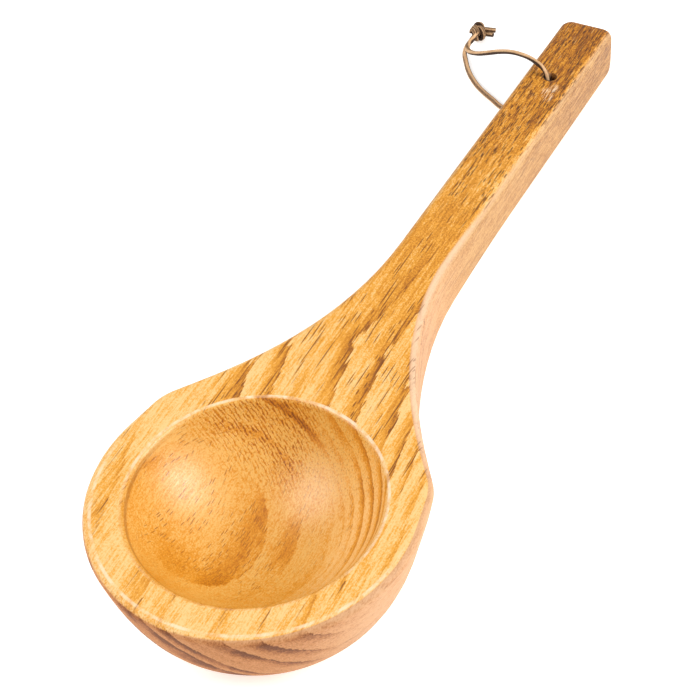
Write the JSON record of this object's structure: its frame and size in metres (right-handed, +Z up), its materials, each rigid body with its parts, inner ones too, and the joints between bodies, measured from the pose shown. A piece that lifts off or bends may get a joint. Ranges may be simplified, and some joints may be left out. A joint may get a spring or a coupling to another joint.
{
  "type": "sauna ladle",
  "caption": "Wooden sauna ladle carved in one piece: round bowl on a flat foot, broad shoulders, straight square-edged handle, and a knotted leather hanging lace.",
  "frame": {"origin": "centre of the bowl's flat foot", "axes": "+Y along the handle, away from the bowl; +Z up, out of the hollow; +X to the right"},
  "size_m": [0.1264, 0.3827, 0.048],
  "materials": {
    "pine": "satin oiled pine, grain along the handle",
    "leather": "undyed tan leather lace"
  },
  "bodies": {
    "root": {"ladle_body": "pine", "lace_loop": "leather", "lace_knot": "leather"}
  },
  "joints": []
}
